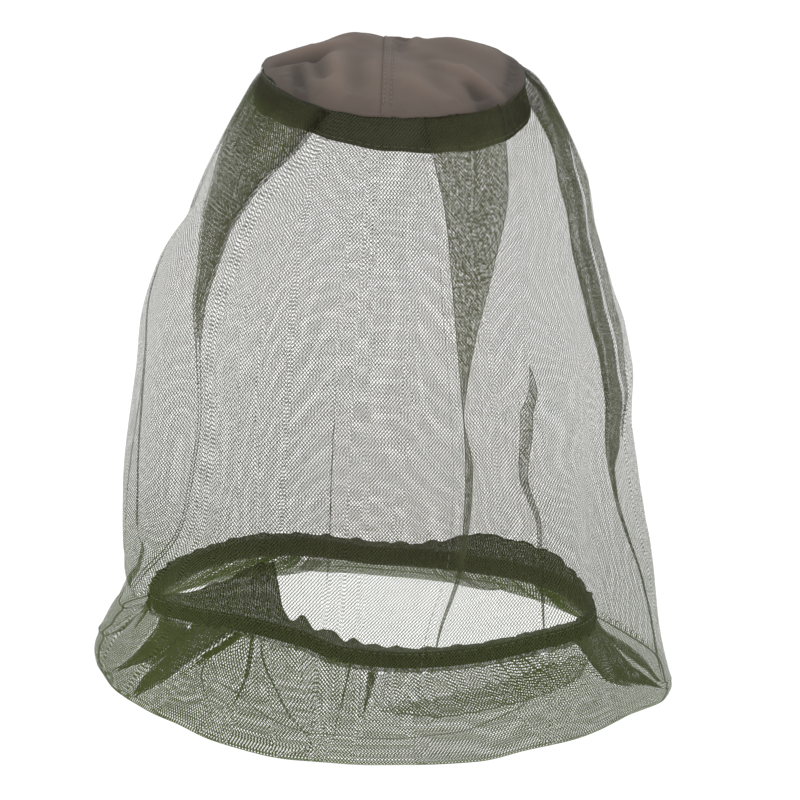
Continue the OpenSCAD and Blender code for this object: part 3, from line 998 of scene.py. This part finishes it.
# How tall the frill over the hem's casing is, and the bunched net standing behind it: (angle, mm).
FRILL = [
    (-180, 1.5), (-75, 0.8), (-42, 3.0), (-25, 6.5), (-8, 4.5), (2, 2.6), (20, 1.2), (70, 1.2), (110, 2.0),
    (180, 1.5),
]
BUNCH = [
    (-80, 0), (-72, 2), (-62, 7), (-48, 19), (-39, 27), (-36.5, 27), (-34.5, 16), (-32.5, 5), (-29, 0),
    (100, 0), (118, 7), (140, 9), (155, 3), (165, 0),
]
CASING_CUT = 0.80  # length of net gathered into the casing, in metres
HEM_LENGTH = 0.59  # length of the neck elastic, in metres
LAG = 3.4 * MM  # how far the gathers lean along the hem as they rise


def casing_section(share):
    """The ruched casing: net gathered over the elastic, with a frill above it, from foot to crest to foot."""
    path = share * CASING_CUT
    ruche = 0.6 * sin(ROUND * share * 118) * (0.7 + 0.3 * sin(ROUND * share * 7))
    slack = gathers(np.array([path, path + LAG]))
    wave, late = slack + ruche
    foot, top = HEM_FOOT, HEM_TOP
    uneven = 1.2 * sin(path / (31 * MM)) + 0.7 * sin(path / (9 * MM))
    scallop = 0.5 + 0.5 * sin(ROUND * path / (23 * MM) + uneven)
    angle = signed(360 * share)
    bunch = float(curve(BUNCH, np.clip(angle, -80, 165))) * (0.97 + 0.03 * sin(path / (7 * MM)))
    frill = (0.8 + float(curve(FRILL, angle)) * (0.35 + 0.65 * scallop) + bunch) * MM
    outer = [
        (0.5 + 0.7 * wave, foot - 0.6 * MM), (1.2 + 1.0 * wave, foot + 2.2 * MM),
        (1.4 + 1.1 * late, foot + 5.0 * MM), (1.1 + 1.0 * wave, foot + 7.6 * MM),
        (0.4 + 0.8 * late, top - 0.6 * MM),
    ]
    crest = [
        (-0.2 + 0.7 * wave, top + 0.35 * frill), (0.1 + 1.1 * slack[0], top + 0.75 * frill),
        (-0.5 + 1.2 * slack[0], top + frill), (-1.3 + 1.1 * slack[1], top + 0.75 * frill),
        (-1.5 + 0.7 * wave, top + 0.35 * frill),
    ]
    inner = [
        (-2.9 - 0.5 * late, top - 0.8 * MM), (-3.3 - 0.6 * wave, foot + 5 * MM),
        (-2.9 - 0.5 * wave, foot + 0.4 * MM),
    ]
    return [(out * MM, up) for out, up in outer + crest + inner]


casing = loop_band(
    "neck_casing_ruched", hem_outline, casing_section, HEM_NET, HEM_STEPS, CASING_CUT, closed=False
)


def flat_section(out_face, thick, low, high):
    """A flat strip's cut, the same all round: its outer face, thickness, foot and top."""
    cut = []
    for k in range(12):
        a = ROUND * k / 12
        out = 0.5 * thick * power(cos(a), 0.5)
        up = 0.5 * (high - low) * power(sin(a), 0.5)
        cut.append((out + out_face - thick / 2, up + (low + high) / 2))
    return lambda share: cut


section = flat_section(-0.6 * MM, 1.3 * MM, HEM_FOOT + 0.9 * MM, HEM_TOP - 0.9 * MM)
neck_elastic = loop_band("neck_elastic_strip", hem_outline, section, ELASTIC, 360, HEM_LENGTH)


def band_elastic_section(share):
    """The headband's elastic, a flat strip that follows the band's slack foot."""
    low, top = band_edges(360 * share)
    cut = flat_section(0.4 * MM, 0.8 * MM, 0.14, 0.88)(share)
    return [(out + band_flare(up), low + (top - low) * up) for out, up in cut]


outline = round_outline(BAND_MIDDLE_R - 0.2 * MM)
band_elastic = loop_band(
    "headband_elastic_strip", outline, band_elastic_section, ELASTIC, 240, BAND_ELASTIC_LENGTH
)

# ---------------------------------------------------------------- thread


def stitches(name, pieces, material, radius=0.22 * MM):
    """Each piece is (start, end, outward): a short bar of thread that dips at its ends."""
    verts, faces = [], []
    sides, rings = 6, 6
    for start, end, out in pieces:
        start, end, out = (np.array(p, float) for p in (start, end, out))
        along = end - start
        size = np.linalg.norm(along)
        along = along / size
        side = np.cross(along, out)
        base = len(verts)
        for r in range(rings):
            t = r / (rings - 1)
            dome = sin(pi * (0.12 + 0.76 * t))
            centre = start + along * size * t + out * radius * (1.5 * dome - 0.5)
            thick = radius * (0.55 + 0.45 * dome)
            for s in range(sides):
                a = ROUND * s / sides
                verts.append(centre + thick * (cos(a) * out + sin(a) * side))
        for r in range(rings - 1):
            ring = base + r * sides
            for s in range(sides):
                n = (s + 1) % sides
                faces.append((ring + s, ring + n, ring + sides + n, ring + sides + s))
        last = base + (rings - 1) * sides
        faces.append(range(base + sides - 1, base - 1, -1))
        faces.append(range(last, last + sides))
    return mesh_object(name, verts, faces, material)


STITCH, PITCH = 2.6 * MM, 4.2 * MM


def bar(outline, shares, ups, out_by, facing):
    """A stitch between two shares of an outline, at two heights over it. It faces out as the outline does
    at the share facing."""
    ends = []
    for share, up in zip(shares, ups):
        x, y, z, nx, ny = outline(share)
        ends.append((x + nx * out_by, y + ny * out_by, z + up))
    return (*ends, (*outline(facing)[3:], 0))


def stitch_round(outline, length, count, up=0.0, out_by=0.0):
    """Even stitches round a whole outline of this length."""
    half = STITCH / 2 / length
    return [bar(outline, (s - half, s + half), (up, up), out_by, s) for s in (np.arange(count) + 0.5) / count]


def band_line(out_by, up):
    """An outline just outside the band, at a share of its height."""
    def at(share):
        low, top = band_edges(360 * share)
        x, y, z, nx, ny = round_outline(BAND_R + out_by + band_flare(up))(share)
        return x, y, low + (top - low) * up, nx, ny
    return at


pieces = stitch_round(band_line(0.35 * MM, 0.91), BAND_LENGTH, 98)
edge_thread = stitches("crown_edge_thread", pieces, THREAD)
pieces = stitch_round(band_line(0.15 * MM, 0.13), BAND_LENGTH, 98)
band_thread = stitches("headband_hem_thread", pieces, THREAD)


def crown_seam_pieces():
    pieces = []
    for x in (-0.8 * LAP, -0.1 * LAP):
        y = -CROWN_R + 4 * MM
        while y < CROWN_R - 6 * MM:
            ends = []
            for at in (y, y + STITCH):
                z = BAND_TOP + 0.3 * MM + float(crown_height(np.array(x), np.array(at))) + 0.8 * MM
                ends.append((x, at, z))
            slope = (ends[1][2] - ends[0][2]) / STITCH
            out = Vector((0, -slope, 1)).normalized()
            pieces.append((*ends, tuple(out)))
            y += PITCH
    return pieces


crown_thread = stitches("crown_seam_thread", crown_seam_pieces(), CROWN_THREAD, 0.2 * MM)


def surface_row(points, lift):
    """Stitches along a line of points, each facing away from the axis and raised by lift."""
    pieces = []
    lengths = np.concatenate([[0], np.cumsum(np.linalg.norm(np.diff(points, axis=0), axis=1))])
    at = 2 * MM
    while at + STITCH < lengths[-1]:
        ends = [np.array([np.interp(s, lengths, points[:, k]) for k in range(3)]) for s in (at, at + STITCH)]
        mid = (ends[0] + ends[1]) / 2
        out = np.array([mid[0], mid[1], 0])
        out /= np.linalg.norm(out)
        pieces.append((ends[0] + out * lift, ends[1] + out * lift, out))
        at += PITCH
    return pieces


wall_rows = [i for i, (kind, value) in enumerate(net_row_list) if kind == "wall"]
seam_line = net_places[wall_rows[5:], (seam_col - 1) % net_places.shape[1]]
seam_thread = stitches("net_seam_thread", surface_row(seam_line, 0.1 * MM), THREAD, 0.18 * MM)

pieces = stitch_round(hem_outline, HEM_LENGTH, 140, HEM_TOP - 1.2 * MM, 0.9 * MM)
casing_thread = stitches("neck_casing_thread", pieces, THREAD)


def tack_pieces(outline, spread, low, high, out_by):
    """A zigzag bar tack across an elastic's overlapped ends."""
    shares = np.linspace(*spread, 9)
    ups = [low, high] * 5
    return [bar(outline, shares[k : k + 2], ups[k : k + 2], out_by, shares[k + 1]) for k in range(8)]


pieces = tack_pieces(round_outline(BAND_R), (0.262, 0.285), BAND_FOOT + 3 * MM, BAND_TOP - 5 * MM, 0.2 * MM)
band_tack = stitches("headband_elastic_tack", pieces, TACK_THREAD)
pieces = tack_pieces(hem_outline, (0.242, 0.258), HEM_FOOT + 2 * MM, HEM_TOP - 2 * MM, 1.4 * MM)
neck_tack = stitches("neck_elastic_tack", pieces, TACK_THREAD)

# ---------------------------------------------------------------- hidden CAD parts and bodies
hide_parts("crown_left_panel")
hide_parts("crown_right_panel")
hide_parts("crown_seam_stitches")
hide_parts("crown_edge_stitches")
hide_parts("headband_casing")
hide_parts("headband_elastic")
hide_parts("headband_elastic_join")
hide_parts("headband_hem_stitches")
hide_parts("net_upper", "net_lower", "net_underfold")
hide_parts("net_seam_upper_stitches", "net_seam_lower_stitches")
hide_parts("neck_casing")
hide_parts("neck_elastic")
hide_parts("neck_elastic_join")
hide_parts("neck_casing_stitches")

for piece in (crown_left, crown_right, crown_thread, edge_thread, band, band_elastic, band_tack, band_thread):
    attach(piece, "hood")
for piece in (casing, neck_elastic, neck_tack, casing_thread):
    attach(piece, "neck")
for piece in (net, seam_thread):
    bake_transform(piece)
